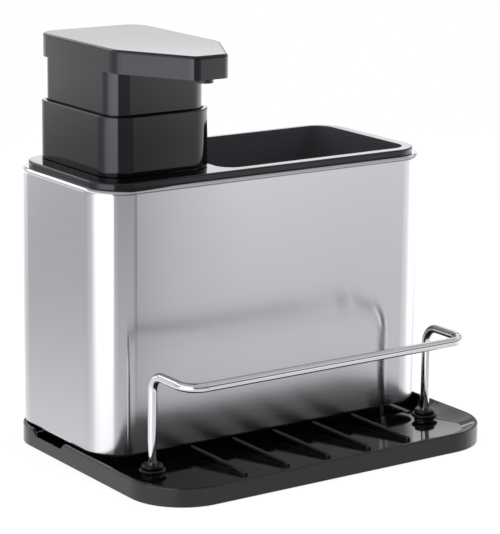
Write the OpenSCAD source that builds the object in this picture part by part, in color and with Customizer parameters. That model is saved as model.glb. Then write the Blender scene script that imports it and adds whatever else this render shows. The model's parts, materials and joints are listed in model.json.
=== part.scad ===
// Soap pump caddy for the sink: a brushed steel body on a black drip tray.
// The left side holds a soap tank with a square press pump, the right side is an
// open well for brushes, and a wire rail along the front of the tray keeps a sponge in.
// Lengths are millimetres. The origin is on the ground under the middle of the tray,
// +X to the right, +Y to the back, +Z up.

/* [Steel body] */
// Width of the steel body
body_w = 190; // [184:1:210]
// Depth of the steel body
body_d = 87; // [85:1:100]
// Height of the steel wall
body_h = 125.6; // [110:0.2:150]
// Radius of the body's upright corners
body_r = 18; // [14:0.5:24]
// Thickness of the steel sheet
steel_t = 0.8; // [0.5:0.1:1.2]
// Outside radius where the top of the sheet turns in
steel_top_r = 2; // [1.6:0.1:3]
// Outside radius where the bottom of the sheet turns in
steel_hem_r = 1.3; // [1.3:0.1:1.5]
// Width of the turned-in bottom edge
steel_hem_w = 2.2; // [2:0.1:2.4]

/* [Drip tray] */
// How far the tray stands out beside the body
tray_side_margin = 2.5; // [2:0.1:6]
// How far the tray reaches in front of the body
tray_reach = 55; // [50:1:70]
// How far the tray reaches behind the body
tray_back_margin = 1; // [0.5:0.1:4]
// Height of the tray's edge above the ground
tray_h = 9.5; // [9.2:0.1:12]
// Gap between the tray's edge and the steel above it
body_clear = 0.1; // [0.1:0.1:1]
// Radius of the tray's front corners
tray_front_r = 27.5; // [24:0.5:34]
// Radius of the tray's back corners
tray_back_r = 22.5; // [16:0.5:24]
// Thickness of the tray's wall
tray_wall = 1.6; // [1.4:0.1:2.2]
// Thickness of the tray's drip floor
tray_floor_t = 2; // [1.6:0.1:2.4]
// Radius along the tray's top edge
tray_edge_r = 0.7; // [0.5:0.1:0.7]
// Height of the drip floor at the front
floor_front_z = 8.2; // [7.4:0.1:8.6]
// Height of the drip floor under the body
floor_back_z = 4.3; // [4:0.1:5.2]
// From the back of the tray to the middle of the drain notch in each side wall
notch_back_margin = 40.5; // [34:0.5:46]
// Width of the notch at its top
notch_w = 30; // [20:1:32]
// Height of the bottom of the drain notch
notch_z = 6.4; // [5.6:0.1:7.4]
// How much each end of the notch leans out
notch_lean = 3; // [1:0.5:5]

/* [Drip ribs] */
// Number of ribs
rib_count = 5; // [3:1:7]
// Distance from rib to rib
rib_pitch = 23.65; // [16:0.05:25]
// Width of a rib
rib_w = 2.6; // [2:0.1:3.4]
// How far the ribs stand above the tray's edge
rib_rise = 0.2; // [0:0.1:1]
// From the back of the ribs to the front of the body
rib_body_gap = 0.8; // [0.5:0.1:4]
// From the front of the tray to the ribs
rib_front_margin = 8.2; // [6:0.1:14]

/* [Feet] */
// Radius of a rubber foot
foot_r = 7; // [5:0.5:8]
// Thickness of a rubber foot
foot_t = 2.4; // [2.2:0.1:2.6]
// How far the feet lift the tray off the ground
foot_lift = 0.3; // [0.3:0.1:1]
// From the side of the tray to the middle of a foot
foot_side_margin = 25.5; // [20:0.1:34]
// From the front of the tray to the middle of a foot
foot_front_margin = 17.5; // [15:0.5:20]
// From the back of the tray to the middle of a foot
foot_back_margin = 17.5; // [15:0.5:20]

/* [Wire rail] */
// Thickness of the wire
wire_d = 4.4; // [3.4:0.1:5]
// From the side of the tray to the middle of a post
post_side_margin = 17.7; // [13:0.1:27]
// Height of the rail's wire above the ground
rail_z = 53.5; // [40:0.5:70]
// From the posts forward to the bar
rail_reach = 30.5; // [24:0.5:34]
// From the front of the tray back to the posts
post_front_margin = 37.4; // [34:0.2:40]
// Bend radius at the front corners
rail_corner_r = 9; // [6:0.5:15]
// Bend radius at the top of the posts
rail_post_r = 8; // [5:0.5:9]
// Radius of the lower bead of the rubber socket
socket_bead_r = 6.4; // [6:0.1:7.5]
// Thickness of the lower bead
socket_bead_t = 1.9; // [1.4:0.1:2.4]
// Radius of the upper bead
socket_top_r = 5.1; // [4.8:0.1:5.5]
// Height of the upper bead above the lower one
socket_top_h = 2.2; // [1.8:0.1:3]
// Radius of the socket's neck in the tray
socket_neck_r = 3.7; // [3.5:0.05:4.2]

/* [Deck and brush well] */
// How far the deck stands in from the steel
deck_inset = 2.9; // [2.6:0.1:3.4]
// Thickness of the deck above the steel
deck_t = 3.1; // [2.4:0.1:4]
// Radius along the deck's top edge
deck_edge_r = 0.8; // [0.5:0.1:1.1]
// Thickness of the wall of the well that holds the tank
well_wall = 1.8; // [1.6:0.1:2.2]
// Thickness of the brush well's wall
brush_wall = 1.5; // [1.2:0.1:1.6]
// Thickness of the floor of both wells
well_floor_t = 1.8; // [1.5:0.1:2.2]
// From the right side of the body to the brush well
well_right_margin = 8.6; // [8.4:0.2:14]
// From the front of the body to the brush well
well_front_margin = 8.4; // [7:0.2:14]
// From the back of the body to the brush well
well_back_margin = 5.9; // [5:0.1:12]
// From the pump's collar to the brush well
well_collar_gap = 1.5; // [1.4:0.1:8]
// Radius of the brush well's corners
well_r = 9; // [6:1:16]
// Radius of a drain hole
drain_r = 2.6; // [1.5:0.1:4]
// Distance between drain holes
drain_pitch = 13; // [10:0.5:16]

/* [Plinth] */
// How far the plinth stands in from the steel
plinth_inset = 14; // [12:0.5:18]
// Radius of the plinth's corners
plinth_r = 8; // [6:0.5:12]
// Thickness of the plinth's wall
plinth_wall = 2.4; // [2:0.1:3]
// Thickness of the bottom plate
plate_t = 2.2; // [1.8:0.1:3]

/* [Pump collar] */
// Width of the collar
collar_w = 58.2; // [56:0.2:60]
// Height of the collar above its gap
collar_h = 27.8; // [26:0.2:34]
// Radius of the collar's front corners
collar_front_r = 12; // [8:0.5:15]
// Radius of the collar's back corners
collar_back_r = 8; // [6:0.5:12]
// Thickness of the collar's wall
collar_wall = 2; // [1.6:0.1:2]
// From the left side of the body to the collar
collar_side_margin = 12.3; // [12:0.1:14]
// From the front of the body to the collar
collar_front_margin = 13.3; // [11.5:0.1:17.5]
// From the back of the body to the collar
collar_back_margin = 4.9; // [4.8:0.1:9]

/* [Pump head] */
// Height of the column that shows above the collar
column_show = 21; // [20:0.5:26]
// Gap between the column and the collar, all round
column_gap = 0.7; // [0.4:0.1:1.2]
// Thickness of the column's wall
column_wall = 1.8; // [1.4:0.1:2.2]
// Width of the head
head_w = 58; // [57:0.5:64]
// Height of the head
head_h = 10.9; // [10.6:0.1:14]
// Thickness of the head's side wall
head_wall = 2; // [1.6:0.1:2.2]
// Thickness of the head's top
head_top_t = 2.2; // [1.6:0.1:2.6]
// Radius along the head's top edge
head_edge_r = 1.4; // [0.8:0.1:2]
// From the back of the collar out to the back of the head
head_back_over = 0.4; // [0.2:0.1:3]
// From the front of the collar back to where the head starts to narrow
head_shoulder_back = -2.2; // [-6:0.2:4]
// From the front of the collar forward to the end of the spout
spout_reach = 38.7; // [30:0.1:44]
// Width of the end of the spout, across its sharp corners
spout_w = 17.8; // [15:0.2:26]
// From the end of the spout back to the nozzle
nozzle_back = 5.6; // [5.6:0.2:10]
// Radius of the nozzle where it shows
nozzle_r = 3.75; // [3.4:0.05:3.8]
// How far the nozzle stands out under the head
nozzle_show = 2; // [1.6:0.1:6]
// How far the head can be pressed down
press_travel = 16; // [10:0.5:16]

/* [Soap tank] */
// Thickness of the tank's wall
tank_wall = 1.6; // [1.2:0.1:2.2]
// Gap between the tank and its well, all round
tank_gap = 0.5; // [0.3:0.1:0.8]
// Outside radius of the tank's neck
neck_r = 13.5; // [13:0.1:14]
// Thickness of the neck's wall
neck_wall = 1.8; // [1.4:0.1:2.2]

/* [Pump] */
// Inside radius of the pump cylinder
bore_r = 6.6; // [6.2:0.1:7]
// Thickness of the cylinder's wall
cylinder_wall = 1.4; // [1.1:0.1:1.6]
// Outside radius of the stem
stem_r = 4; // [3.6:0.1:4.2]
// Radius of the stem's channel
stem_bore_r = 2.2; // [1.6:0.1:2.4]
// Length of the piston
piston_h = 10; // [8:0.5:11]
// Radius of the inlet ball
ball_r = 2.5; // [2.3:0.1:2.6]
// How far the inlet ball can lift
ball_lift = 1.5; // [1:0.1:1.6]
// Thickness of the spring's wire
spring_wire_d = 1; // [0.8:0.1:1.2]
// Number of turns in the spring
spring_turns = 7; // [5:1:8]
// Outside radius of the dip tube
dip_r = 3.25; // [2.8:0.05:3.4]
// Radius of the dip tube's channel
dip_bore_r = 2.25; // [1.8:0.05:2.3]

/* [Hidden] */
$fn = 64;

// Overrun of every cut, and the lap of pieces that are joined into one solid
over = 1;
lap = 0.4;
// Running gap of a round part in its bore, and the gap that keeps still parts apart
run_gap = 0.05;
seat_gap = 0.3;
// How far slanted edges stand inside the rounds of their corners, so that both cross
ease = 0.004;

// Tray
tray_w = body_w + 2 * tray_side_margin;
tray_d = tray_reach + body_d + tray_back_margin;
tray_x1 = tray_w / 2;
tray_y1 = tray_d / 2;
tray_verts = rect_points(-tray_x1, tray_x1, -tray_y1, tray_y1);
tray_radii = [tray_front_r, tray_front_r, tray_back_r, tray_back_r];
tray_rib_t = 1.6;
tray_rib_pitch = 38;
boss_wall = 2;
socket_seat_z = 7;
socket_boss_wall = 1.2;
post_x = tray_x1 - post_side_margin;
post_y = -tray_y1 + post_front_margin;
foot_recess = foot_t - foot_lift;
foot_edge_r = 0.5;
rib_top_z = tray_h + rib_rise;
notch_y = tray_y1 - notch_back_margin;
locator_w = 2;
locator_h = 2.5;
locator_l = 14;

// Body
body_x1 = body_w / 2;
body_y0 = -tray_y1 + tray_reach;
body_y1 = body_y0 + body_d;
body_mid_y = (body_y0 + body_y1) / 2;
body_z0 = tray_h + body_clear;
steel_top_z = body_z0 + body_h;
body_verts = rect_points(-body_x1, body_x1, body_y0, body_y1);
body_radii = same(body_r);
flange_cover = 0.8;
steel_flange_w = deck_inset + flange_cover;
deck_top_z = steel_top_z + deck_t;
skirt_h = 4;
plate_z = body_z0 + steel_t;
plate_top_z = plate_z + plate_t;
plate_inset = steel_hem_r + seat_gap;
plinth_verts = rect_points(-body_x1 + plinth_inset, body_x1 - plinth_inset,
                           body_y0 + plinth_inset, body_y1 - plinth_inset);
plinth_radii = same(plinth_r);
well_floor_z = plate_top_z + well_floor_t;

// Brush well
well_x0 = -body_x1 + collar_side_margin + collar_w + well_collar_gap;
well_x1 = body_x1 - well_right_margin;
well_y0 = body_y0 + well_front_margin;
well_y1 = body_y1 - well_back_margin;
well_mid = [(well_x0 + well_x1) / 2, (well_y0 + well_y1) / 2];
well_verts = rect_points(well_x0, well_x1, well_y0, well_y1);
well_radii = same(well_r);
drain_cols = 5;
drain_rows = 3;
skirt_clear = 0.8;

// Collar, tank well and tank
collar_x0 = -body_x1 + collar_side_margin;
collar_x1 = collar_x0 + collar_w;
collar_y1 = body_y1 - collar_back_margin;
collar_y0 = body_y0 + collar_front_margin;
axis_x = (collar_x0 + collar_x1) / 2;
axis_y = (collar_y0 + collar_y1) / 2;
collar_z0 = deck_top_z + seat_gap;
collar_top_z = collar_z0 + collar_h;
collar_verts = rect_points(collar_x0, collar_x1, collar_y0, collar_y1);
collar_radii = [collar_front_r, collar_front_r, collar_back_r, collar_back_r];
collar_edge_r = 0.6;
tank_hole_inset = 1.2;
tank_inset = tank_hole_inset + tank_gap;
tank_top_gap = 3;
tank_top_z = steel_top_z - tank_top_gap;
tank_edge_r = 2;
tank_shoulder_t = 2;
web_lift = 1;
web_t = 2;
web_z = collar_z0 + web_lift;
neck_rise = 6.7;
neck_top_z = web_z + web_t + neck_rise;
neck_flange_r = 16.5;
neck_flange_t = 1.3;

// Screws between the bottom plate and the posts on the wells
screw_r = 1.25;
screw_head_r = 2.4;
screw_head_t = 1.6;
screw_l = 9;
screw_y_margin = 24;
post_r = 3;
post_h = 16;
left_post_x = collar_x0 + tank_hole_inset - well_wall - post_r + over;
right_post_x = well_x1 + brush_wall + post_r - over;
screw_y = [body_y0 + screw_y_margin, body_y1 - screw_y_margin];
screw_places = [for (x = [left_post_x, right_post_x], y = screw_y) [x, y]];

// Closure, cylinder and valve, up the pump's axis
ring_r = 17;
ring_z = web_z + web_t;
ring_lip_t = 2;
gasket_t = 1.2;
flange_t = 1.8;
flange_z = neck_top_z + gasket_t;
flange_edge_gap = 0.5;
flange_r = neck_r - flange_edge_gap;
cylinder_r = bore_r + cylinder_wall;
cylinder_top_z = flange_z + flange_t;
guide_head_r = cylinder_r;
guide_head_t = 4;
guide_plug_h = 4;
column_foot_gap = 1.2;
column_z0 = ring_z + press_travel + column_foot_gap;
head_z0 = collar_top_z + column_show;
head_top_z = head_z0 + head_h;
piston_top_gap = 1;
piston_top_z = cylinder_top_z - guide_plug_h - piston_top_gap;
piston_z0 = piston_top_z - piston_h;
groove_z = piston_z0 + piston_h / 3;
groove_h = piston_h / 6;
cage_t = 1.6;
cage_bar_w = 1.2;
seal_w = 1.2;
spring_spare = 1;
spring_pack = spring_wire_d * (spring_turns + 1) + spring_spare;
spring_z1 = piston_z0 - run_gap;
spring_z0 = spring_z1 - press_travel - spring_pack;
cage_z = spring_z0 - run_gap - cage_t;
ball_side_gap = 0.6;
chamber_r = ball_r + ball_side_gap;
seat_share = 0.76;
seat_r = seat_share * ball_r;
ball_seat_h = sqrt(ball_r * ball_r - seat_r * seat_r);
chamber_h = ball_seat_h + ball_r + ball_lift + seat_gap;
seat_z = cage_z - chamber_h;
seat_t = 2;
dip_socket_h = 12;
dip_socket_wall = 1.3;
dip_top_z = seat_z - seat_t;
dip_foot_gap = 1.8;
dip_z0 = well_floor_z + tank_wall + dip_foot_gap;
ball_z = seat_z + ball_seat_h + seat_gap / 2;

// Spring: mean radius, rings per turn and sides of the wire
spring_r = bore_r - run_gap - seat_gap - spring_wire_d / 2;
spring_steps = 16;
spring_sides = 6;

// Head: outline, floor and the channel to the nozzle
head_back_y = collar_y1 + head_back_over;
head_shoulder_y = collar_y0 + head_shoulder_back;
spout_y = collar_y0 - spout_reach;
head_verts = [
    [axis_x - spout_w / 2, spout_y],
    [axis_x + spout_w / 2, spout_y],
    [axis_x + head_w / 2, head_shoulder_y],
    [axis_x + head_w / 2, head_back_y],
    [axis_x - head_w / 2, head_back_y],
    [axis_x - head_w / 2, head_shoulder_y]
];
head_tip_r = 5;
head_shoulder_r = 14;
head_back_r = 10.5;
head_radii = [head_tip_r, head_tip_r, head_shoulder_r, head_back_r, head_back_r, head_shoulder_r];
head_floor_t = 1.8;
head_floor_z = head_z0 + head_floor_t;
column_verts = collar_verts;
column_inset = collar_wall + column_gap;
stem_boss_r = 6.4;
stem_boss_h = 9.4;
stem_rise = 1.2;
stem_top_z = head_floor_z + stem_rise;
channel_r = 3.1;
channel_bore_r = 1.9;
channel_top_z = head_top_z - head_top_t - run_gap;
channel_z = channel_top_z - seat_gap - channel_r;
channel_socket_r = 5.4;
nozzle_y = spout_y + nozzle_back;
nozzle_bore_r = 1.6;
nozzle_step = 0.5;
nozzle_flange_r = nozzle_r - nozzle_step;
nozzle_neck_r = nozzle_r - 2 * nozzle_step;
nozzle_flange_t = 1;

// A rectangle's corners, anticlockwise
function rect_points(x0, x1, y0, y1) = [[x0, y0], [x1, y0], [x1, y1], [x0, y1]];
function same(r) = [r, r, r, r];

// The collar's rectangle and its corner radii, drawn in by inset
function inset_rect(inset) =
    rect_points(collar_x0 + inset, collar_x1 - inset, collar_y0 + inset, collar_y1 - inset);
function inset_radii(inset) = [for (r = collar_radii) r - inset];

// Outward normal of the edge from a to b of an anticlockwise outline
function outward(a, b) = let (d = (b - a) / norm(b - a)) [d.y, -d.x];

// Rounded corner i: its centre, its radius and the normals before and after it
function corner(verts, radii, i) =
    let (n = len(verts), before = outward(verts[(i + n - 1) % n], verts[i]),
         after = outward(verts[i], verts[(i + 1) % n]), r = radii[i])
    [verts[i] - (before + after) * r / (1 + before * after), r, before, after];
function corners(verts, radii) = [for (i = [0:len(verts) - 1]) corner(verts, radii, i)];

// Flat area of a rounded outline, drawn in by inset; slack draws its straight edges in more
module flat_outline(verts, radii, inset = 0, slack = 0) {
    all = corners(verts, radii);
    polygon([for (c = all) let (r = c[1] - inset - slack) each [c[0] + r * c[2], c[0] + r * c[3]]]);
    for (c = all) translate(c[0]) circle(r = c[1] - inset);
}

// Upright prism on a rounded outline
module prism(verts, radii, z0, z1, inset = 0, slack = 0) {
    translate([0, 0, z0]) linear_extrude(height = z1 - z0) flat_outline(verts, radii, inset, slack);
}

// Sweeps a flat profile once round a rounded outline: the profile's x is 0 at the
// outline and negative inside it, and its y is the height
module edge_band(verts, radii) {
    all = corners(verts, radii);
    n = len(all);
    for (i = [0:n - 1]) {
        here = all[i];
        next = all[(i + 1) % n];
        turn = acos(here[2] * here[3]);
        a = here[0] + here[1] * here[3];
        b = next[0] + next[1] * next[2];
        translate(here[0]) rotate([0, 0, atan2(here[2].y, here[2].x)])
            rotate_extrude(angle = turn) translate([here[1], 0]) children();
        translate(b) rotate([90, 0, atan2(here[3].y, here[3].x)])
            linear_extrude(height = norm(b - a)) children();
    }
}

// Profile of a slab's edge, with its top corner rounded
module round_top_profile(h, r, band) {
    translate([-band, 0]) square([band, h - r]);
    translate([-band, 0]) square([band - r, h]);
    translate([-r, h - r]) circle(r = r);
}

// Slab on a rounded outline with its top edge rounded; the lower prism ties the seams of the band
module soft_slab(verts, radii, z0, z1, r) {
    band = 2 * r + lap;
    prism(verts, radii, z0, z1, (band + r) / 2);
    prism(verts, radii, z0, z1 - r, r / 2);
    translate([0, 0, z0]) edge_band(verts, radii) round_top_profile(z1 - z0, r, band);
}

// The same slab on an outline with slanted edges: the hull of a round puck at each corner
module soft_plate(verts, radii, z0, z1, r) {
    hull() for (c = corners(verts, radii))
        translate([c[0].x, c[0].y, z0]) rotate_extrude($fn = 48)
            translate([c[1], 0]) round_top_profile(z1 - z0, r, c[1] - ease);
}

// Round tube up the pump's axis, or a solid rod when its bore is 0
module axis_tube(r, bore, z0, z1) {
    translate([axis_x, axis_y, z0]) difference() {
        cylinder(r = r, h = z1 - z0);
        if (bore > 0) translate([0, 0, -over]) cylinder(r = bore, h = z1 - z0 + 2 * over);
    }
}

// Everything above the drip floor, lowered by drop
module above_floor(drop) {
    reach = tray_d + over;
    translate([-reach, 0, 0]) rotate([90, 0, 90]) linear_extrude(height = 2 * reach) polygon([
        [-reach, tray_h + reach], [-reach, floor_front_z - drop],
        [-tray_y1 + tray_wall, floor_front_z - drop], [body_y0, floor_back_z - drop],
        [reach, floor_back_z - drop], [reach, tray_h + reach]
    ]);
}

module drip_rib(x) {
    r = rib_w / 2;
    y0 = -tray_y1 + rib_front_margin + r;
    y1 = body_y0 - rib_body_gap;
    z0 = foot_lift;
    intersection() {
        translate([x, y0, 0]) union() {
            translate([-r, 0, z0]) cube([rib_w, y1 - y0, rib_top_z - r - z0]);
            translate([0, 0, z0]) cylinder(r = r, h = rib_top_z - r - z0);
            translate([0, 0, rib_top_z - r]) rotate([-90, 0, 0]) cylinder(r = r, h = y1 - y0);
            translate([0, 0, rib_top_z - r]) sphere(r = r);
        }
        above_floor(tray_floor_t / 2);
    }
}

// Upright boss under the drip floor, up to its own top
module tray_boss(x, y, r, top_z) {
    translate([x, y, foot_lift]) cylinder(r = r, h = top_z - foot_lift);
}

module foot_places() {
    for (x = [-tray_x1 + foot_side_margin, tray_x1 - foot_side_margin])
        for (y = [-tray_y1 + foot_front_margin, tray_y1 - foot_back_margin])
            translate([x, y, 0]) children();
}

module tray_notches() {
    top = tray_h - notch_z + over;
    run = notch_lean * (1 + over / (tray_h - notch_z));
    for (s = [-1, 1]) translate([s * tray_x1, notch_y, notch_z])
        rotate([90, 0, 90]) translate([0, 0, -tray_wall - over])
            linear_extrude(height = 2 * (tray_wall + over)) polygon([
                [-notch_w / 2 + notch_lean, 0], [notch_w / 2 - notch_lean, 0],
                [notch_w / 2 - notch_lean + run, top], [-notch_w / 2 + notch_lean - run, top]
            ]);
}

// Stiffening ribs and foot bosses in the hollow under the drip floor
module under_ribs() {
    count = floor(tray_x1 / tray_rib_pitch);
    rib_h = floor_front_z - foot_lift;
    difference() {
        union() {
            for (i = [-count:count])
                translate([i * tray_rib_pitch - tray_rib_t / 2, -tray_y1 + tray_wall / 2, foot_lift])
                    cube([tray_rib_t, tray_d - tray_wall, rib_h]);
            for (y = [body_y0, body_mid_y]) translate([-tray_x1 + tray_wall / 2, y, foot_lift])
                cube([tray_w - tray_wall, tray_rib_t, rib_h]);
            foot_places() tray_boss(0, 0, foot_r + boss_wall, floor_front_z);
        }
        above_floor(tray_floor_t / 2);
    }
}

// Low fence inside the plinth, left standing at its four corners, that centres the body
module locators() {
    inset = plinth_wall + seat_gap;
    z0 = floor_back_z - tray_floor_t / 2;
    z1 = floor_back_z + locator_h;
    run_x = body_w - 2 * (plinth_inset + inset + locator_l);
    run_y = body_d - 2 * (plinth_inset + inset + locator_l);
    difference() {
        prism(plinth_verts, plinth_radii, z0, z1, inset);
        prism(plinth_verts, plinth_radii, z0 - over, z1 + over, inset + locator_w);
        translate([-run_x / 2, body_y0, z0 - over]) cube([run_x, body_d, z1 - z0 + 2 * over]);
        translate([-body_x1, body_mid_y - run_y / 2, z0 - over]) cube([body_w, run_y, z1 - z0 + 2 * over]);
    }
}

module base_tray() {
    color([0.09, 0.09, 0.1]) difference() {
        union() {
            difference() {
                soft_slab(tray_verts, tray_radii, foot_lift, tray_h, tray_edge_r);
                intersection() {
                    prism(tray_verts, tray_radii, 0, tray_h + over, tray_wall);
                    above_floor(0);
                }
                difference() {
                    prism(tray_verts, tray_radii, foot_lift - over, floor_front_z, tray_wall);
                    above_floor(tray_floor_t);
                }
            }
            for (i = [0:rib_count - 1]) drip_rib((i - (rib_count - 1) / 2) * rib_pitch);
            for (s = [-1, 1]) tray_boss(s * post_x, post_y, socket_neck_r + socket_boss_wall, socket_seat_z);
            under_ribs();
            locators();
        }
        for (s = [-1, 1]) translate([s * post_x, post_y, -over])
            cylinder(r = socket_neck_r + run_gap, h = tray_h + 2 * over);
        foot_places() translate([0, 0, foot_lift - over])
            cylinder(r = foot_r + run_gap, h = foot_recess + over);
        tray_notches();
    }
}

module foot(x, y) {
    color([0.2, 0.2, 0.2])
        translate([x * (tray_x1 - foot_side_margin),
                   y < 0 ? -tray_y1 + foot_front_margin : tray_y1 - foot_back_margin, 0])
            rotate_extrude() {
                translate([0, foot_edge_r]) square([foot_r, foot_t - foot_edge_r]);
                square([foot_r - foot_edge_r, foot_t]);
                translate([foot_r - foot_edge_r, foot_edge_r]) circle(r = foot_edge_r);
            }
}

// Half of the rail, from its foot to the middle of the bar; s is -1 left, 1 right
module half_rail(s) {
    r = wire_d / 2;
    z0 = foot_lift + boss_wall;
    bar_y = post_y - rail_reach;
    post_h = rail_z - rail_post_r - z0;
    arm = rail_reach - rail_post_r - rail_corner_r;
    translate([s * post_x, post_y, z0]) cylinder(r = r, h = post_h);
    translate([s * post_x, post_y - rail_post_r, rail_z - rail_post_r]) rotate([90, 0, 90])
        rotate_extrude(angle = 90) translate([rail_post_r, 0]) circle(r = r);
    translate([s * post_x, post_y - rail_post_r, rail_z]) rotate([90, 0, 0]) cylinder(r = r, h = arm);
    translate([s * (post_x - rail_corner_r), bar_y + rail_corner_r, rail_z])
        rotate([0, 0, s > 0 ? -90 : 180])
            rotate_extrude(angle = 90) translate([rail_corner_r, 0]) circle(r = r);
    translate([s > 0 ? 0 : -post_x + rail_corner_r, bar_y, rail_z]) rotate([0, 90, 0])
        cylinder(r = r, h = post_x - rail_corner_r);
}

module wire_rail() {
    color([0.8, 0.8, 0.82]) {
        half_rail(-1);
        half_rail(1);
    }
}

// Rubber socket that grips a post of the rail: neck and two stacked beads
module rail_socket(s) {
    bore = wire_d / 2 + run_gap;
    low_r = socket_bead_t / 2;
    high_r = (socket_top_r - bore) / 2;
    neck_z = foot_lift + run_gap;
    top_z = socket_seat_z + socket_bead_t + socket_top_h;
    color([0.05, 0.05, 0.05]) translate([s * post_x, post_y, 0]) rotate_extrude() difference() {
        union() {
            translate([0, neck_z]) square([socket_neck_r, top_z - high_r - neck_z]);
            translate([0, socket_seat_z]) square([socket_bead_r - low_r, socket_bead_t]);
            translate([socket_bead_r - low_r, socket_seat_z + low_r]) circle(r = low_r);
            translate([0, neck_z]) square([socket_top_r - high_r, top_z - neck_z]);
            translate([socket_top_r - high_r, top_z - high_r]) circle(r = high_r);
        }
        translate([0, neck_z + boss_wall - run_gap - lap]) square([bore, tray_h + rail_z]);
    }
}

// Section through the steel wall: x is 0 at its outer face, y is the height
module steel_section() {
    translate([-steel_t, steel_hem_r]) square([steel_t, body_h - steel_top_r - steel_hem_r]);
    translate([-steel_top_r, body_h - steel_top_r]) intersection() {
        difference() {
            circle(r = steel_top_r);
            circle(r = steel_top_r - steel_t);
        }
        square(steel_top_r);
    }
    translate([-steel_flange_w, body_h - steel_t]) square([steel_flange_w - steel_top_r, steel_t]);
    translate([-steel_hem_r, steel_hem_r]) intersection() {
        difference() {
            circle(r = steel_hem_r);
            circle(r = steel_hem_r - steel_t);
        }
        translate([0, -steel_hem_r]) square(steel_hem_r);
    }
    translate([-steel_hem_w, 0]) square([steel_hem_w - steel_hem_r, steel_t]);
}

module steel_shell() {
    color([0.72, 0.72, 0.74]) translate([0, 0, body_z0])
        edge_band(body_verts, body_radii) steel_section();
}

module drain_holes(r, z0, z1) {
    for (i = [0:drain_cols - 1], j = [0:drain_rows - 1])
        translate([well_mid.x + (i - (drain_cols - 1) / 2) * drain_pitch,
                   well_mid.y + (j - (drain_rows - 1) / 2) * drain_pitch, z0 - over])
            cylinder(r = r, h = z1 - z0 + 2 * over);
}

// Posts for the screws, standing on the bottom plate at one side
module screw_posts(x) {
    for (y = screw_y) translate([x, y, plate_top_z]) cylinder(r = post_r, h = post_h);
}

module screw_bores(x) {
    for (y = screw_y) translate([x, y, plate_top_z - over])
        cylinder(r = screw_r + run_gap, h = screw_l + 2 * over);
}

// Room for the steel's turned-in top edge
module flange_room() {
    difference() {
        prism(body_verts, body_radii, steel_top_z - steel_t - seat_gap, steel_top_z, steel_t);
        prism(body_verts, body_radii, plate_z, steel_top_z + over, steel_flange_w + seat_gap);
    }
}

// Deck with the skirt that centres it in the steel and the well that holds the tank
module inner_housing() {
    skirt_inset = steel_flange_w + seat_gap;
    color([0.1, 0.1, 0.11]) difference() {
        union() {
            soft_slab(rect_points(-body_x1 + deck_inset, body_x1 - deck_inset,
                                  body_y0 + deck_inset, body_y1 - deck_inset),
                      same(body_r - deck_inset), steel_top_z, deck_top_z, deck_edge_r);
            difference() {
                prism(body_verts, body_radii, steel_top_z - skirt_h, steel_top_z + lap, skirt_inset);
                prism(body_verts, body_radii, steel_top_z - skirt_h - over, steel_top_z,
                      skirt_inset + well_wall);
                prism(well_verts, well_radii, steel_top_z - skirt_h - over, steel_top_z,
                      -brush_wall - skirt_clear);
            }
            difference() {
                prism(collar_verts, collar_radii, plate_top_z, steel_top_z + lap, tank_hole_inset - well_wall);
                prism(well_verts, well_radii, plate_top_z - over, steel_top_z, -brush_wall - seat_gap);
            }
            screw_posts(left_post_x);
        }
        prism(well_verts, well_radii, steel_top_z - over, deck_top_z + over);
        prism(collar_verts, collar_radii, well_floor_z, deck_top_z + over, tank_hole_inset);
        flange_room();
        screw_bores(left_post_x);
    }
}

// Open well for brushes, up to the underside of the deck
module brush_well() {
    color([0.1, 0.1, 0.11]) difference() {
        union() {
            prism(well_verts, well_radii, plate_top_z, steel_top_z, -brush_wall);
            screw_posts(right_post_x);
        }
        prism(well_verts, well_radii, well_floor_z, steel_top_z + over);
        flange_room();
        drain_holes(drain_r, plate_top_z, well_floor_z);
        screw_bores(right_post_x);
    }
}

module bottom_plate() {
    color([0.12, 0.12, 0.13]) difference() {
        union() {
            prism(body_verts, body_radii, plate_z, plate_top_z, plate_inset);
            difference() {
                prism(plinth_verts, plinth_radii, floor_back_z, plate_z + lap);
                prism(plinth_verts, plinth_radii, floor_back_z - over, plate_z, plinth_wall);
            }
        }
        drain_holes(drain_r + seat_gap, plate_z, plate_top_z);
        translate([-body_x1, notch_y - notch_w / 2, floor_back_z - over])
            cube([body_w, notch_w, (plate_z - floor_back_z) / 2 + over]);
        for (p = screw_places) translate([p.x, p.y, plate_z - over])
            cylinder(r = screw_r + run_gap, h = plate_t + 2 * over);
    }
}

module plate_screws() {
    color([0.7, 0.7, 0.72]) for (p = screw_places) translate([p.x, p.y, plate_z]) {
        translate([0, 0, -screw_head_t]) cylinder(r = screw_head_r, h = screw_head_t);
        translate([0, 0, -lap]) cylinder(r = screw_r, h = screw_l + lap);
    }
}

module soap_tank() {
    color([0.75, 0.76, 0.78]) difference() {
        union() {
            soft_slab(inset_rect(tank_inset), inset_radii(tank_inset),
                      well_floor_z, tank_top_z, tank_edge_r);
            axis_tube(neck_r, 0, tank_top_z - lap, neck_top_z);
            axis_tube(neck_flange_r, 0, web_z - neck_flange_t, web_z);
        }
        prism(inset_rect(tank_inset), inset_radii(tank_inset), well_floor_z + tank_wall,
              tank_top_z - tank_shoulder_t, tank_wall);
        axis_tube(neck_r - neck_wall, 0, tank_top_z - tank_shoulder_t - over, neck_top_z + over);
    }
}

module pump_collar() {
    color([0.13, 0.13, 0.14]) difference() {
        soft_slab(collar_verts, collar_radii, collar_z0, collar_top_z, collar_edge_r);
        prism(collar_verts, collar_radii, web_z + web_t, collar_top_z + over, collar_wall);
        prism(collar_verts, collar_radii, collar_z0 - over, web_z, collar_wall);
        axis_tube(neck_r + seat_gap, 0, web_z - over, web_z + web_t + over);
    }
}

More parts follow.
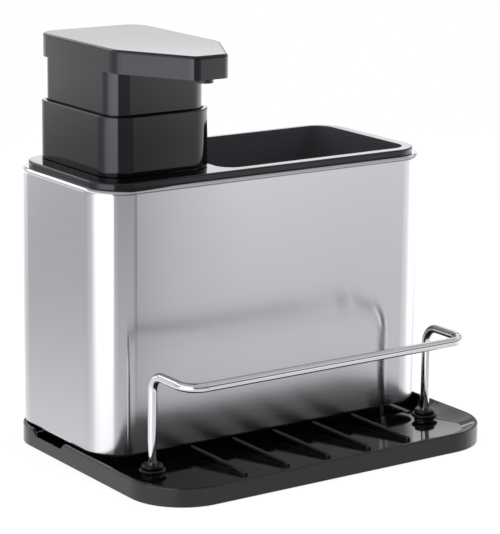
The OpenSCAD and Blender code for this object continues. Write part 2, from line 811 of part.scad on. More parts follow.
module closure_ring() {
    color([0.2, 0.2, 0.21]) difference() {
        axis_tube(ring_r, guide_head_r + seat_gap, ring_z, cylinder_top_z + ring_lip_t);
        axis_tube(neck_r + seat_gap, 0, ring_z - over, cylinder_top_z);
    }
}

module closure_gasket() {
    color([0.3, 0.3, 0.3]) axis_tube(flange_r, cylinder_r + run_gap, neck_top_z, flange_z);
}

// Cylinder with its flange, the ball's chamber and the socket for the dip tube
module pump_cylinder() {
    socket_r = dip_r + run_gap + dip_socket_wall;
    color([0.9, 0.9, 0.88]) difference() {
        union() {
            axis_tube(cylinder_r, 0, cage_z - cylinder_wall, cylinder_top_z);
            axis_tube(flange_r, 0, flange_z, cylinder_top_z);
            translate([axis_x, axis_y, cage_z - 2 * cylinder_wall - dip_socket_wall])
                cylinder(r1 = socket_r, r2 = cylinder_r, h = cylinder_wall + dip_socket_wall, $fn = 48);
            axis_tube(socket_r, 0, dip_top_z - dip_socket_h, cage_z);
        }
        axis_tube(bore_r, 0, cage_z, cylinder_top_z + over);
        axis_tube(chamber_r, 0, seat_z, cage_z + over);
        axis_tube(seat_r, 0, seat_z - seat_t - over, seat_z + over);
        axis_tube(dip_r + run_gap, 0, dip_top_z - dip_socket_h - over, dip_top_z);
    }
}

module stem_guide() {
    color([0.9, 0.9, 0.88]) difference() {
        union() {
            axis_tube(guide_head_r, 0, cylinder_top_z, cylinder_top_z + guide_head_t);
            axis_tube(bore_r - run_gap, 0, cylinder_top_z - guide_plug_h, cylinder_top_z + lap);
        }
        axis_tube(stem_r + run_gap, 0, cylinder_top_z - guide_plug_h - over,
                  cylinder_top_z + guide_head_t + over);
    }
}

// Spring seat with a bar across it that keeps the ball in its chamber
module ball_cage() {
    color([0.9, 0.9, 0.88]) {
        axis_tube(bore_r - run_gap, chamber_r, cage_z, cage_z + cage_t);
        translate([axis_x - chamber_r - lap, axis_y - cage_bar_w / 2, cage_z])
            cube([2 * (chamber_r + lap), cage_bar_w, cage_t]);
    }
}

module inlet_ball() {
    color([0.8, 0.8, 0.82]) translate([axis_x, axis_y, ball_z]) sphere(r = ball_r);
}

module dip_tube() {
    color([0.92, 0.92, 0.9]) axis_tube(dip_r, dip_bore_r, dip_z0, dip_top_z);
}

// Ring k of the spring's wire: dead coils at both ends, even pitch between
function spring_height(share) =
    let (dead = 1 / spring_turns, live = 1 - 2 * dead,
         rise = spring_z1 - spring_z0 - 3 * spring_wire_d,
         mid = (min(max(share, dead), 1 - dead) - dead) / live,
         ends = (min(share, dead) + max(share - 1 + dead, 0)) / dead)
    spring_z0 + spring_wire_d / 2 + spring_wire_d * ends + rise * mid;
function spring_ring(share) =
    let (turn = 360 * spring_turns * share, z = spring_height(share))
    [for (k = [0:spring_sides - 1])
        let (a = 360 * k / spring_sides, r = spring_r + spring_wire_d / 2 * cos(a))
        [axis_x + r * cos(turn), axis_y + r * sin(turn), z + spring_wire_d / 2 * sin(a)]];

module pump_spring() {
    rings = spring_turns * spring_steps;
    side = spring_sides;
    points = [for (i = [0:rings]) each spring_ring(i / rings)];
    walls = [for (i = [0:rings - 1], k = [0:side - 1])
        let (a = i * side + k, b = i * side + (k + 1) % side)
        each [[a, b, b + side], [a, b + side, a + side]]];
    first = [for (k = [1:side - 2]) [0, k + 1, k]];
    last = [for (k = [1:side - 2]) [rings * side, rings * side + k, rings * side + k + 1]];
    color([0.75, 0.75, 0.78]) polyhedron(points = points, faces = concat(walls, first, last), convexity = 10);
}

module piston() {
    color([0.95, 0.95, 0.93]) difference() {
        axis_tube(bore_r - 2 * run_gap, stem_bore_r, piston_z0, piston_top_z);
        axis_tube(stem_r + run_gap, 0, groove_z, piston_top_z + over);
        difference() {
            axis_tube(bore_r + over, 0, groove_z, groove_z + groove_h);
            axis_tube(bore_r - seal_w, 0, piston_z0, piston_top_z);
        }
    }
}

module piston_seal() {
    color([0.15, 0.15, 0.15])
        axis_tube(bore_r - run_gap, bore_r - seal_w + run_gap,
                  groove_z + run_gap, groove_z + groove_h - run_gap);
}

module pump_stem() {
    color([0.95, 0.95, 0.93]) axis_tube(stem_r, stem_bore_r, groove_z + run_gap, stem_top_z);
}

// Column that slides in the collar, the head's floor and the socket of the stem
module head_base() {
    color([0.14, 0.14, 0.15]) difference() {
        union() {
            prism(head_verts, head_radii, head_z0, head_floor_z, head_wall + run_gap, ease);
            prism(column_verts, collar_radii, column_z0, head_z0 + lap, column_inset);
            axis_tube(stem_boss_r, 0, head_z0 - stem_boss_h, head_z0 + lap);
        }
        difference() {
            prism(column_verts, collar_radii, column_z0 - over, head_z0, column_inset + column_wall);
            axis_tube(stem_boss_r, 0, head_z0 - stem_boss_h, head_z0 + lap);
        }
        axis_tube(stem_r + run_gap, 0, column_z0, head_top_z);
        translate([axis_x, nozzle_y, head_z0 - over]) cylinder(r = nozzle_neck_r + run_gap, h = head_h);
    }
}

module head_cover() {
    color([0.16, 0.16, 0.17]) difference() {
        soft_plate(head_verts, head_radii, head_z0, head_top_z, head_edge_r);
        prism(head_verts, head_radii, head_z0 - over, head_top_z - head_top_t, head_wall, ease);
    }
}

// Channel from the top of the stem to the nozzle, over the head's floor
module spout_tube() {
    z0 = head_floor_z;
    z1 = channel_top_z;
    color([0.9, 0.9, 0.88]) difference() {
        union() {
            axis_tube(channel_socket_r, 0, z0, z1);
            translate([axis_x, nozzle_y, z0 + nozzle_flange_t])
                cylinder(r = nozzle_flange_r, h = z1 - z0 - nozzle_flange_t);
            translate([axis_x, axis_y, channel_z]) rotate([90, 0, 0])
                cylinder(r = channel_r, h = axis_y - nozzle_y);
        }
        axis_tube(stem_r + run_gap, 0, z0 - over, stem_top_z);
        axis_tube(stem_bore_r, 0, z0, channel_z + channel_bore_r / 2);
        translate([axis_x, axis_y, channel_z]) rotate([90, 0, 0])
            cylinder(r = channel_bore_r, h = axis_y - nozzle_y);
        translate([axis_x, nozzle_y, z0]) cylinder(r = nozzle_bore_r, h = channel_z - z0);
        translate([axis_x, nozzle_y, z0 - over])
            cylinder(r = nozzle_flange_r + seat_gap, h = nozzle_flange_t + over);
    }
}

module nozzle() {
    color([0.1, 0.1, 0.11]) translate([axis_x, nozzle_y, 0]) difference() {
        union() {
            translate([0, 0, head_z0 - nozzle_show]) cylinder(r = nozzle_r, h = nozzle_show);
            translate([0, 0, head_z0 - lap])
                cylinder(r = nozzle_neck_r, h = lap + head_floor_t + nozzle_flange_t);
            translate([0, 0, head_floor_z]) cylinder(r = nozzle_flange_r, h = nozzle_flange_t);
        }
        translate([0, 0, head_z0 - nozzle_show - over]) cylinder(r = nozzle_bore_r, h = head_h + nozzle_show);
    }
}

base_tray();
foot(-1, -1);  // foot_front_left
foot(1, -1);  // foot_front_right
foot(-1, 1);  // foot_back_left
foot(1, 1);  // foot_back_right
wire_rail();
rail_socket(-1);  // rail_socket_left
rail_socket(1);  // rail_socket_right
steel_shell();
inner_housing();
brush_well();
bottom_plate();
plate_screws();
soap_tank();
pump_collar();
closure_ring();
closure_gasket();
pump_cylinder();
stem_guide();
ball_cage();
inlet_ball();
dip_tube();
pump_spring();
piston();
piston_seal();
pump_stem();
head_base();
head_cover();
spout_tube();
nozzle();
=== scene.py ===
import json
import math

import bpy
from mathutils import Matrix, Vector


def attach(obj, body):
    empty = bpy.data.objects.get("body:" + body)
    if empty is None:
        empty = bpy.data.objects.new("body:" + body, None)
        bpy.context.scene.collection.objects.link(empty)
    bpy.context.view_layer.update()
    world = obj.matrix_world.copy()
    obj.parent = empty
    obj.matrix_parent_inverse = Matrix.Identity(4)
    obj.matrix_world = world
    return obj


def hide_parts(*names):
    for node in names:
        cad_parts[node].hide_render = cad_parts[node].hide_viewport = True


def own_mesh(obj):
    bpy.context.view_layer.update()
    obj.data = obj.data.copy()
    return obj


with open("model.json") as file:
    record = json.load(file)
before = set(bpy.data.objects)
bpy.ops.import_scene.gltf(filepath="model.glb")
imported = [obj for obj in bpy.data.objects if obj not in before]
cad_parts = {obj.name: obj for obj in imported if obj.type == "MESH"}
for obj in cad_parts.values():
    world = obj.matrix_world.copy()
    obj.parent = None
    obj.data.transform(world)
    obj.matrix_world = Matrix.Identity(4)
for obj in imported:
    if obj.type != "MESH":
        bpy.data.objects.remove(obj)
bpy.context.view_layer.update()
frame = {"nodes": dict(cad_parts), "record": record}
MM = 0.001

# Camera, fitted to the straight edges of the object in the photo
CAMERA_PLACE = (-0.62875, -0.90024, 0.35005)
CAMERA_YAW, CAMERA_PITCH, CAMERA_ROLL = 34.81, -13.5, 0.64
CAMERA_LENS, CAMERA_SENSOR = 158.18, 36

# Colours and finishes that more than one material has
GLOSS_BLACK = (0.0014, 0.0012, 0.0017)
GLOSS_ROUGHNESS = 0.07
GLOSS_GRAIN = 0.01
# Dark grey on the well's black plastic: painted light, standing in for the light its walls catch from above.
# Its satin roughness is its own.
WELL_PAINTED_LIGHT_GREY = (0.050, 0.046, 0.053)
WELL_ROUGHNESS = 0.3
PLASTIC_IOR = 1.5
PLASTIC_TINT = (0.97, 0.945, 1, 1)
PLASTIC_GRAIN_SCALE = 700
PLASTIC_ROUGHNESS_SPREAD = (0.9, 1.15)
RELIEF = 0.1 * MM
MOULD_EDGE = 0.35 * MM
EVEN = (1, 1, 1)
# The range in which nearly all of a noise's values lie
NOISE_LOW, NOISE_HIGH = 0.3, 0.7


def view_basis(yaw, pitch, roll):
    """The camera's right, up and forward directions, from its heading in degrees."""
    yaw, pitch, roll = map(math.radians, (yaw, pitch, roll))
    forward = Vector((math.sin(yaw) * math.cos(pitch), math.cos(yaw) * math.cos(pitch), math.sin(pitch)))
    level = Vector((math.cos(yaw), -math.sin(yaw), 0))
    up = level.cross(forward)
    right = math.cos(roll) * level + math.sin(roll) * up
    return right, right.cross(forward), forward


def make_camera():
    """The camera at the photo's place and angle."""
    right, up, forward = view_basis(CAMERA_YAW, CAMERA_PITCH, CAMERA_ROLL)
    data = bpy.data.cameras.new("camera")
    data.sensor_width = CAMERA_SENSOR
    data.lens = CAMERA_LENS
    data.clip_start = 0.05
    data.clip_end = 50
    camera = bpy.data.objects.new("camera", data)
    rows = [(right[i], up[i], -forward[i]) for i in range(3)]
    camera.matrix_world = Matrix.Translation(CAMERA_PLACE) @ Matrix(rows).to_4x4()
    bpy.context.scene.collection.objects.link(camera)
    bpy.context.scene.camera = camera


def new_material(name):
    """An empty material, with its nodes, its links and its shader."""
    material = bpy.data.materials.new(name)
    material.use_nodes = True
    nodes, links = material.node_tree.nodes, material.node_tree.links
    return material, nodes, links, nodes["Principled BSDF"]


def math_node(nodes, operation):
    """A node for one sum."""
    node = nodes.new("ShaderNodeMath")
    node.operation = operation
    return node


def noise_bump(nodes, links, shader, scale, stretch, strength):
    """Fine relief from noise that follows the object's own coordinates. Returns the noise."""
    coords = nodes.new("ShaderNodeTexCoord")
    mapping = nodes.new("ShaderNodeMapping")
    mapping.inputs["Scale"].default_value = stretch
    noise = nodes.new("ShaderNodeTexNoise")
    noise.inputs["Scale"].default_value = scale
    noise.inputs["Detail"].default_value = 3
    bump = nodes.new("ShaderNodeBump")
    bump.inputs["Strength"].default_value = strength
    bump.inputs["Distance"].default_value = RELIEF
    links.new(coords.outputs["Object"], mapping.inputs["Vector"])
    links.new(mapping.outputs["Vector"], noise.inputs["Vector"])
    links.new(noise.outputs["Fac"], bump.inputs["Height"])
    links.new(bump.outputs["Normal"], shader.inputs["Normal"])
    return noise


def vary(nodes, links, source, low, high, target):
    """Sends a noise to a shader's socket, spread between two values."""
    spread = nodes.new("ShaderNodeMapRange")
    spread.inputs["From Min"].default_value = NOISE_LOW
    spread.inputs["From Max"].default_value = NOISE_HIGH
    spread.inputs["To Min"].default_value = low
    spread.inputs["To Max"].default_value = high
    links.new(source, spread.inputs["Value"])
    links.new(spread.outputs["Result"], target)


def metal(name, colour, roughness, scale, stretch, strength):
    """A bare metal whose fine grain also varies its roughness."""
    material, nodes, links, shader = new_material(name)
    shader.inputs["Base Color"].default_value = (*colour, 1)
    shader.inputs["Metallic"].default_value = 1
    grain = noise_bump(nodes, links, shader, scale, stretch, strength)
    vary(nodes, links, grain.outputs["Fac"], *roughness, shader.inputs["Roughness"])
    return material, nodes, links, shader


def brushed_steel():
    """Steel brushed round the body, so what it mirrors is drawn out up and down."""
    material, nodes, links, shader = metal("brushed_steel", (0.56, 0.555, 0.57), (0.12, 0.142),
                                           scale=60, stretch=(1, 1, 60), strength=0.006)
    shader.inputs["Anisotropic"].default_value = 1.0
    shader.inputs["Anisotropic Rotation"].default_value = 0.25
    tangent = nodes.new("ShaderNodeTangent")
    tangent.direction_type = "RADIAL"
    tangent.axis = "Z"
    links.new(tangent.outputs["Tangent"], shader.inputs["Tangent"])
    return material


def bright_wire():
    """Polished stainless steel, for the wire and for the small steel pieces."""
    material, *_ = metal("bright_wire", (0.68, 0.68, 0.69), (0.06, 0.10),
                         scale=900, stretch=EVEN, strength=0.03)
    return material


def soften_edges(nodes, links, radius):
    """Rounds the edges a little in the shading, as a mould does."""
    bevel = nodes.new("ShaderNodeBevel")
    bevel.samples = 6
    bevel.inputs["Radius"].default_value = radius
    bump = next(node for node in nodes if node.type == "BUMP")
    links.new(bevel.outputs["Normal"], bump.inputs["Normal"])


def moulded(name, grain, shine=0.5):
    """A plastic that has no colour yet: how strongly it mirrors, and its fine relief."""
    material, nodes, links, shader = new_material(name)
    shader.inputs["IOR"].default_value = PLASTIC_IOR
    shader.inputs["Specular IOR Level"].default_value = shine
    shader.inputs["Specular Tint"].default_value = PLASTIC_TINT
    noise = noise_bump(nodes, links, shader, PLASTIC_GRAIN_SCALE, EVEN, grain)
    return material, nodes, links, shader, noise


def plastic(name, colour, rough, grain=0.02, edge=0.0, shine=0.5):
    """A plastic or rubber of one colour."""
    material, nodes, links, shader, noise = moulded(name, grain, shine)
    shader.inputs["Base Color"].default_value = (*colour, 1)
    low, high = (rough * share for share in PLASTIC_ROUGHNESS_SPREAD)
    vary(nodes, links, noise.outputs["Fac"], low, high, shader.inputs["Roughness"])
    if edge:
        soften_edges(nodes, links, edge)
    return material


def near(nodes, links, source, middle, reach):
    """A mask that is 1 where a value is no further than reach from the middle."""
    inside = math_node(nodes, "COMPARE")
    inside.inputs[1].default_value = middle
    inside.inputs[2].default_value = reach
    links.new(source, inside.inputs[0])
    return inside.outputs["Value"]


def product(nodes, links, first, second):
    """Two values multiplied."""
    both = math_node(nodes, "MULTIPLY")
    links.new(first, both.inputs[0])
    links.new(second, both.inputs[1])
    return both.outputs["Value"]


def well_mouth_wall(nodes, links):
    """A mask that is 1 on the upright wall of the well's mouth, and 0 on the rest of the deck."""
    mouth_middle = (31.7 * MM, 28.25 * MM)
    mouth_reach = (55.5 * MM, 37.2 * MM)
    most_tilt = 0.5
    coords = nodes.new("ShaderNodeTexCoord")
    place = nodes.new("ShaderNodeSeparateXYZ")
    facing = nodes.new("ShaderNodeSeparateXYZ")
    links.new(coords.outputs["Object"], place.inputs["Vector"])
    links.new(coords.outputs["Normal"], facing.inputs["Vector"])
    along = near(nodes, links, place.outputs["X"], mouth_middle[0], mouth_reach[0])
    across = near(nodes, links, place.outputs["Y"], mouth_middle[1], mouth_reach[1])
    level = near(nodes, links, facing.outputs["Z"], 0, most_tilt)
    return product(nodes, links, product(nodes, links, along, across), level)


def deck_plastic():
    """Gloss on the deck; on the wall of the well's mouth, the same fine satin as the brush well and its grey
    of painted light.
    """
    material, nodes, links, shader, _ = moulded("deck_gloss", GLOSS_GRAIN)
    soften_edges(nodes, links, MOULD_EDGE)
    mask = well_mouth_wall(nodes, links)
    paint = nodes.new("ShaderNodeMix")
    paint.data_type = "RGBA"
    paint.inputs["A"].default_value = (*GLOSS_BLACK, 1)
    # The upright wall of the mouth gets the well's grey of painted light.
    paint.inputs["B"].default_value = (*WELL_PAINTED_LIGHT_GREY, 1)
    links.new(mask, paint.inputs["Factor"])
    links.new(paint.outputs["Result"], shader.inputs["Base Color"])
    finish = nodes.new("ShaderNodeMapRange")
    finish.inputs["To Min"].default_value = GLOSS_ROUGHNESS
    finish.inputs["To Max"].default_value = WELL_ROUGHNESS
    links.new(mask, finish.inputs["Value"])
    links.new(finish.outputs["Result"], shader.inputs["Roughness"])
    return material


# Materials by the name of a node or, for the rest, of a slot
MATERIALS = {
    "inner_housing": deck_plastic(),
    "brushed_steel": brushed_steel(),
    "bright_wire": bright_wire(),
    "black_gloss": plastic("black_gloss", GLOSS_BLACK, GLOSS_ROUGHNESS, GLOSS_GRAIN, MOULD_EDGE),
    # The brush well's grey is painted light over its black plastic; its satin roughness is its own finish.
    "brush_well": plastic("well_satin_painted_light", WELL_PAINTED_LIGHT_GREY, WELL_ROUGHNESS),
    "black_satin": plastic("black_satin", (0.016, 0.016, 0.017), 0.35),
    "tank_plastic": plastic("tank_plastic", (0.62, 0.64, 0.64), 0.4),
    "pump_plastic": plastic("pump_plastic", (0.75, 0.75, 0.72), 0.35),
    "black_rubber": plastic("black_rubber", (0.002, 0.002, 0.002), 0.08, shine=0.25),
    "grey_rubber": plastic("grey_rubber", (0.05, 0.05, 0.05), 0.7, grain=0.2),
    "small_steel": bright_wire(),
}


def dress_cad_nodes():
    """Gives every CAD node its own material, or else that of its slot."""
    for row in frame["record"]["subparts"]:
        node = frame["nodes"][row["node"]]
        node.data.materials.clear()
        node.data.materials.append(MATERIALS.get(row["node"], MATERIALS[row["material_slot"]]))


def floor_glow_share(nodes, links):
    """How much of the floor is plain white to the camera: less near the object, to keep its shadow."""
    near_reach, far_reach, near_share = 0.3, 0.9, 0.85
    rays = nodes.new("ShaderNodeLightPath")
    seen = math_node(nodes, "MAXIMUM")
    coords = nodes.new("ShaderNodeTexCoord")
    reach = nodes.new("ShaderNodeVectorMath")
    reach.operation = "LENGTH"
    fade = nodes.new("ShaderNodeMapRange")
    fade.inputs["From Min"].default_value = near_reach
    fade.inputs["From Max"].default_value = far_reach
    fade.inputs["To Min"].default_value = near_share
    fade.inputs["To Max"].default_value = 1
    links.new(coords.outputs["Object"], reach.inputs[0])
    links.new(reach.outputs["Value"], fade.inputs["Value"])
    links.new(rays.outputs["Is Camera Ray"], seen.inputs[0])
    links.new(rays.outputs["Is Transmission Ray"], seen.inputs[1])
    return product(nodes, links, seen.outputs["Value"], fade.outputs["Result"])


def make_floor():
    """The pale floor, which fades into the white background."""
    size, divisions = 8, 8
    bpy.ops.mesh.primitive_grid_add(x_subdivisions=divisions, y_subdivisions=divisions, size=size)
    floor = bpy.context.object
    floor.name = "floor"
    material, nodes, links, shader = new_material("floor")
    shader.inputs["Base Color"].default_value = (0.86, 0.86, 0.86, 1)
    shader.inputs["Roughness"].default_value = 0.9
    glow = nodes.new("ShaderNodeEmission")
    glow.inputs["Strength"].default_value = 1
    mix = nodes.new("ShaderNodeMixShader")
    links.new(floor_glow_share(nodes, links), mix.inputs["Fac"])
    links.new(shader.outputs["BSDF"], mix.inputs[1])
    links.new(glow.outputs["Emission"], mix.inputs[2])
    links.new(mix.outputs["Shader"], nodes["Material Output"].inputs["Surface"])
    floor.data.materials.append(material)
    floor.visible_glossy = False


# What the glossy surfaces see all round: for each heading in degrees, the level at each height
HEIGHTS = (-0.90, -0.70, -0.40, -0.29, 0.30, 1.05, 1.50)
SURROUNDINGS = [
    (0, 1.6, 2.1, 2.6, 2.6, 1.5, 0.4, 1.0),
    (30, 1.0, 1.0, 1.8, 2.0, 2.0, 0.6, 1.0),
    (80, 1.2, 1.1, 1.6, 1.9, 2.0, 0.6, 3.0),
    (105, 1.2, 0.8, 1.2, 1.7, 1.4, 0.4, 2.0),
    (118.5, 1.2, 0.60, 1.0, 2.0, 1.8, 0.3, 2.0),
    (121.5, 1.1, 0.58, 0.57, 1.0, 1.4, 0.3, 2.0),
    (140, 1.1, 0.62, 0.6, 0.8, 0.6, 0.3, 2.0),
    (160, 1.2, 0.9, 0.9, 1.1, 0.7, 0.3, 2.0),
    (178, 1.4, 2.2, 2.1, 2.6, 1.8, 0.6, 2.0),
    (195, 1.4, 2.4, 2.6, 3.4, 2.4, 0.8, 2.0),
    (222, 1.3, 2.4, 2.7, 3.5, 2.4, 0.8, 1.5),
    (228, 1.1, 1.8, 2.7, 3.5, 0.5, 0.1, 0.9),
    (231, 1.05, 1.35, 0.34, 0.52, 0.3, 0.03, 0.6),
    (242, 1.0, 0.68, 0.32, 0.52, 0.25, 0.03, 0.6),
    (289, 1.0, 0.64, 0.35, 0.6, 0.2, 0.03, 0.6),
    (292.5, 0.95, 0.12, 0.35, 0.6, 0.2, 0.03, 0.6),
    (299.5, 0.9, 0.12, 0.5, 0.95, 0.2, 0.03, 0.6),
    (301.5, 0.9, 0.95, 0.62, 1.3, 0.25, 0.03, 0.6),
    (303.5, 0.85, 0.82, 1.1, 1.9, 0.3, 0.03, 0.6),
    (309, 0.9, 0.82, 0.95, 1.6, 0.4, 0.08, 0.9),
    (330, 1.1, 1.3, 1.6, 1.9, 0.6, 0.2, 0.9),
    (345, 1.3, 2.1, 2.5, 2.5, 1.2, 0.3, 0.9),
    (360, 1.6, 2.1, 2.6, 2.6, 1.5, 0.4, 1.0),
]
# Behind the object, the height and level of what the head's top, the deck and the tray's floor mirror
BACKDROP_HEADINGS = (25, 85)
BACKDROP = [
    (0.30, 0.45), (0.56, 0.5), (0.585, 1.7), (0.605, 1.35), (0.64, 1.2),
    (0.66, 2.3), (0.72, 2.3), (0.84, 0.55), (1.20, 0.45), (1.50, 1.2),
]
DRUM_RADIUS, DRUM_TOP = 3.0, 2.4
DRUM_FLOOR_LEVEL, DRUM_CEILING_LEVEL = 0.9, 0.6
STUDIO_WHITE = (0.985, 0.975, 1, 1)


def between(rows, x):
    """Value at x on a list of points joined by straight lines."""
    if x <= rows[0][0]:
        return rows[0][1]
    for (x0, y0), (x1, y1) in zip(rows, rows[1:]):
        if x <= x1:
            return y0 + (y1 - y0) * (x - x0) / (x1 - x0)
    return rows[-1][1]


def level_at(heading, height):
    """Brightness of the surroundings towards a heading, at a height on the drum of cards."""
    if BACKDROP_HEADINGS[0] < heading < BACKDROP_HEADINGS[1] and height >= BACKDROP[0][0]:
        return between(BACKDROP, height)
    levels = [between([(row[0], row[i + 1]) for row in SURROUNDINGS], heading) for i in range(len(HEIGHTS))]
    return between(list(zip(HEIGHTS, levels)), height)


def glow_material(name, strength=1.0, attribute=None):
    """Plain light of one strength, or of the strength that a mesh attribute gives."""
    material = bpy.data.materials.new(name)
    material.use_nodes = True
    nodes, links = material.node_tree.nodes, material.node_tree.links
    nodes.remove(nodes["Principled BSDF"])
    glow = nodes.new("ShaderNodeEmission")
    glow.inputs["Color"].default_value = STUDIO_WHITE
    glow.inputs["Strength"].default_value = strength
    if attribute:
        level = nodes.new("ShaderNodeAttribute")
        level.attribute_name = attribute
        links.new(level.outputs["Fac"], glow.inputs["Strength"])
    links.new(glow.outputs["Emission"], nodes["Material Output"].inputs["Surface"])
    return material


def add_mesh(name, verts, faces, material):
    """A new object from points and faces."""
    mesh = bpy.data.meshes.new(name)
    mesh.from_pydata(verts, [], faces)
    mesh.materials.append(material)
    piece = bpy.data.objects.new(name, mesh)
    bpy.context.scene.collection.objects.link(piece)
    return piece


def stage_card(name, verts, faces, material):
    """A card of light that only mirrors can see."""
    card = add_mesh(name, verts, faces, material)
    card.visible_camera = False
    card.visible_diffuse = False
    card.visible_shadow = False
    card.visible_transmission = False
    return card


def on_drum(heading, height):
    """A point on the drum of cards."""
    a = math.radians(heading)
    return DRUM_RADIUS * math.cos(a), DRUM_RADIUS * math.sin(a), height


def make_drum():
    """Cards all round the object, as bright as the studio looks in the photo's reflections."""
    heading_step, lid_step = 3, 6
    heights = sorted({-DRUM_TOP, *HEIGHTS, *(row[0] for row in BACKDROP), DRUM_TOP})
    headings = sorted({*range(0, 361, heading_step), *(row[0] for row in SURROUNDINGS)})
    verts = [on_drum(heading, height) for height in heights for heading in headings]
    levels = [level_at(heading, height) for height in heights for heading in headings]
    n = len(headings)
    faces = [(r * n + c, r * n + c + 1, (r + 1) * n + c + 1, (r + 1) * n + c)
             for r in range(len(heights) - 1) for c in range(n - 1)]
    drum = stage_card("drum", verts, faces, glow_material("drum_glow", attribute="level"))
    layer = drum.data.attributes.new("level", "FLOAT", "POINT")
    layer.data.foreach_set("value", levels)
    for name, height, level in (("drum_floor", -DRUM_TOP, DRUM_FLOOR_LEVEL),
                                ("drum_ceiling", DRUM_TOP, DRUM_CEILING_LEVEL)):
        ring = [on_drum(heading, height) for heading in range(0, 360, lid_step)]
        stage_card(name, ring, [tuple(range(len(ring)))], glow_material(name + "_glow", level))


def sweep(name, rings, smooth_sides, material):
    """A closed form through rings of points, whose first sides are shaded smooth and the rest flat."""
    sides = len(rings[0])
    faces = []
    for i in range(len(rings) - 1):
        for k in range(sides):
            a, b = i * sides + k, i * sides + (k + 1) % sides
            faces.append((a, a + sides, b + sides, b))
    walls = len(faces)
    faces.append(tuple(range(sides)))
    faces.append(tuple((len(rings) - 1) * sides + k for k in reversed(range(sides))))
    piece = add_mesh(name, [point for ring in rings for point in ring], faces, material)
    for i, polygon in enumerate(piece.data.polygons):
        polygon.use_smooth = i < walls and i % sides < smooth_sides
    piece.data.update()
    return piece


def spring_height(share, turns, wire, z0, z1):
    """Height of the wire's middle along the spring: one dead coil at each end, even pitch between."""
    dead = 1 / turns
    mid = (min(max(share, dead), 1 - dead) - dead) / (1 - 2 * dead)
    ends = (min(share, dead) + max(share - 1 + dead, 0)) / dead
    return z0 + wire / 2 + wire * ends + (z1 - z0 - 3 * wire) * mid


def make_spring():
    """The pump's spring as a smooth coil of round wire."""
    axis, radius, wire, turns = (-53.6 * MM, 31.2 * MM), 5.75 * MM, 1.0 * MM, 7
    z0, z1 = 111.25 * MM, 136.25 * MM
    steps, sides = 40 * turns, 10
    rings = []
    for i in range(steps + 1):
        turn = 2 * math.pi * turns * i / steps
        z = spring_height(i / steps, turns, wire, z0, z1)
        ring = []
        for k in range(sides):
            a = 2 * math.pi * k / sides
            r = radius + wire / 2 * math.cos(a)
            height = z + wire / 2 * math.sin(a)
            ring.append((axis[0] + r * math.cos(turn), axis[1] + r * math.sin(turn), height))
        rings.append(ring)
    coil = sweep("pump_spring_coil", rings, sides, MATERIALS["small_steel"])
    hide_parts("pump_spring")
    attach(coil, "pump")
    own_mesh(coil)


# The inside of the tray, in millimetres: its wall, its lip, and its floor, which slopes down to the back
WALL_X, WALL_FRONT_Y, WALL_CORNER = 95.9, -69.9, 25.9
LIP_Z = 9.48
FLOOR_FRONT_Z, FLOOR_BACK_Z, FLOOR_BACK_Y = 8.2, 4.3, -16.5
SCOOP_START_Y = -10.0


def tray_inner_wall():
    """Places along the tray's inner wall, right side to left by the front, each with the way inward."""
    side_steps, corner_steps, front_steps = 16, 24, 40
    cx, cy = WALL_X - WALL_CORNER, WALL_FRONT_Y + WALL_CORNER
    half = [(WALL_X, SCOOP_START_Y + (cy - SCOOP_START_Y) * i / side_steps, -1.0, 0.0)
            for i in range(side_steps)]
    for i in range(corner_steps + 1):
        a = math.radians(-90 * i / corner_steps)
        out_x, out_y = math.cos(a), math.sin(a)
        half.append((cx + WALL_CORNER * out_x, cy + WALL_CORNER * out_y, -out_x, -out_y))
    front = [(cx - 2 * cx * i / front_steps, WALL_FRONT_Y, 0.0, 1.0) for i in range(1, front_steps)]
    return half + front + [(-x, y, -dx, dy) for x, y, dx, dy in reversed(half)]


def floor_slope(y):
    """Height of the tray's floor, as if it sloped on past its back end."""
    share = (y - WALL_FRONT_Y) / (FLOOR_BACK_Y - WALL_FRONT_Y)
    return FLOOR_FRONT_Z + (FLOOR_BACK_Z - FLOOR_FRONT_Z) * share


def scoop_width(y):
    """How far the scoop reaches in from the wall: little where it starts, and more where the lip is high."""
    most, per_rise, at_start, per_length = 14.0, 3.4, 2.0, 0.5
    return min(most, per_rise * (LIP_Z - floor_slope(y)), at_start + per_length * max(0.0, SCOOP_START_Y - y))


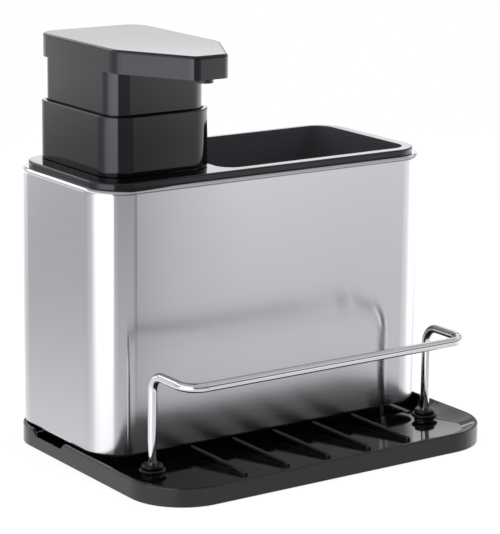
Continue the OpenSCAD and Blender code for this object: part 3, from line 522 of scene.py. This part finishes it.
def make_scoop():
    """The soft scoop in which the tray's floor runs up to its lip."""
    steps, curve = 10, 1.3
    edge_sink, wall_bite, floor_bite, foot_bite = 0.05, 0.3, 0.3, 0.4
    rings = []
    for x, y, dx, dy in tray_inner_wall():
        width = scoop_width(y)
        ring = []
        for j in range(steps + 1):
            inward = width * (1 - j / steps)
            px, py = x + dx * inward, y + dy * inward
            floor_z = min(max(floor_slope(py), FLOOR_BACK_Z), FLOOR_FRONT_Z)
            ring.append((px, py, floor_z - edge_sink + (LIP_Z - floor_z) * (j / steps) ** curve))
        back_x, back_y = x - dx * wall_bite, y - dy * wall_bite
        ring.append((back_x, back_y, ring[steps][2]))
        ring.append((back_x, back_y, floor_slope(y) - foot_bite))
        ring.append((ring[0][0], ring[0][1], ring[0][2] - floor_bite))
        rings.append([(a * MM, b * MM, c * MM) for a, b, c in ring])
    scoop = sweep("tray_scoop", rings, steps, MATERIALS["black_gloss"])
    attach(scoop, "tray")


def make_world():
    """White behind the object for the camera, and soft grey light for everything else."""
    world = bpy.data.worlds.new("world")
    bpy.context.scene.world = world
    world.use_nodes = True
    nodes, links = world.node_tree.nodes, world.node_tree.links
    soft = nodes["Background"]
    soft.inputs["Color"].default_value = (0.55, 0.55, 0.56, 1)
    white = nodes.new("ShaderNodeBackground")
    white.inputs["Color"].default_value = (1, 1, 1, 1)
    rays = nodes.new("ShaderNodeLightPath")
    mix = nodes.new("ShaderNodeMixShader")
    links.new(rays.outputs["Is Camera Ray"], mix.inputs["Fac"])
    links.new(soft.outputs["Background"], mix.inputs[1])
    links.new(white.outputs["Background"], mix.inputs[2])
    links.new(mix.outputs["Shader"], nodes["World Output"].inputs["Surface"])


# Lights: name, place, width and height, watts
SOFTBOXES = (
    ("left_softbox", (-1.2, 0.1, 0.6), (1.2, 1.2), 20),
    ("top_softbox", (0.2, -0.2, 1.6), (1.4, 1.4), 18),
    ("right_softbox", (1.3, -0.3, 0.6), (1.0, 1.2), 12),
)
OBJECT_MIDDLE = (0, 0, 0.1)


def area_light(name, place, size, watts):
    """A softbox that points at the object and doesn't show in its reflections."""
    data = bpy.data.lights.new(name, "AREA")
    data.shape = "RECTANGLE"
    data.size, data.size_y = size
    data.energy = watts
    light = bpy.data.objects.new(name, data)
    light.location = place
    light.rotation_euler = (Vector(OBJECT_MIDDLE) - Vector(place)).to_track_quat("-Z", "Y").to_euler()
    light.visible_glossy = False
    bpy.context.scene.collection.objects.link(light)


make_camera()
make_world()
make_floor()
make_drum()
dress_cad_nodes()
make_spring()
make_scoop()
for softbox in SOFTBOXES:
    area_light(*softbox)

bpy.context.scene.view_settings.view_transform = "Standard"
